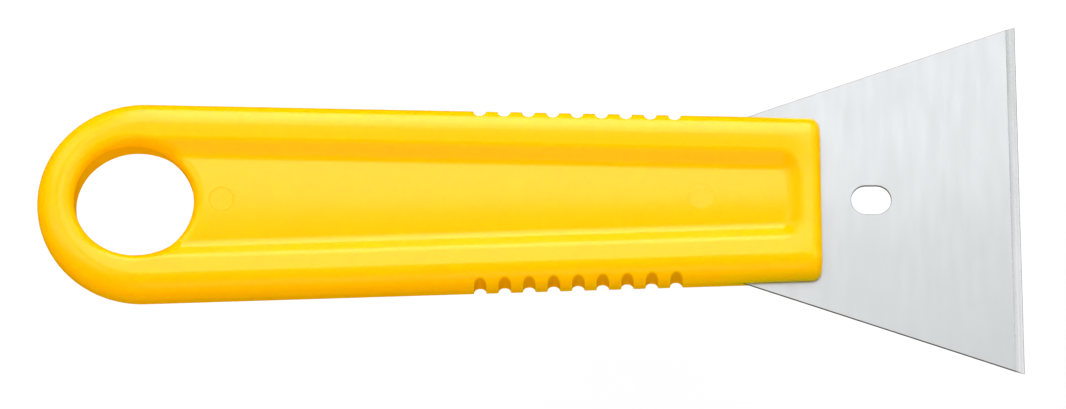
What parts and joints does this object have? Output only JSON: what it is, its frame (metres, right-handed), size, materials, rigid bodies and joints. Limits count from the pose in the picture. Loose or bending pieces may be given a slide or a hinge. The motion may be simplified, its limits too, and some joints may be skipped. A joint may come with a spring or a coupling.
{
  "type": "fixed blade scraper",
  "caption": "Pocket scraper: flat trapezoid steel blade with an oblong slot, moulded into a slim recessed plastic handle with grip notches and a hanging hole.",
  "frame": {"origin": "middle of the bounding box in X and Y, on the plane of the back rim that the tool lies on", "axes": "+X along the tool from the hanging hole to the cutting edge, +Y across the tool, +Z through the thickness towards the face with the ejector marks"},
  "size_m": [0.1222, 0.045, 0.0068],
  "materials": {
    "handle_plastic": "semi-gloss moulded yellow",
    "blade_steel": "fine rolled grain with a ground edge band"
  },
  "bodies": {
    "root": {"handle": "handle_plastic", "blade": "blade_steel"}
  },
  "joints": []
}
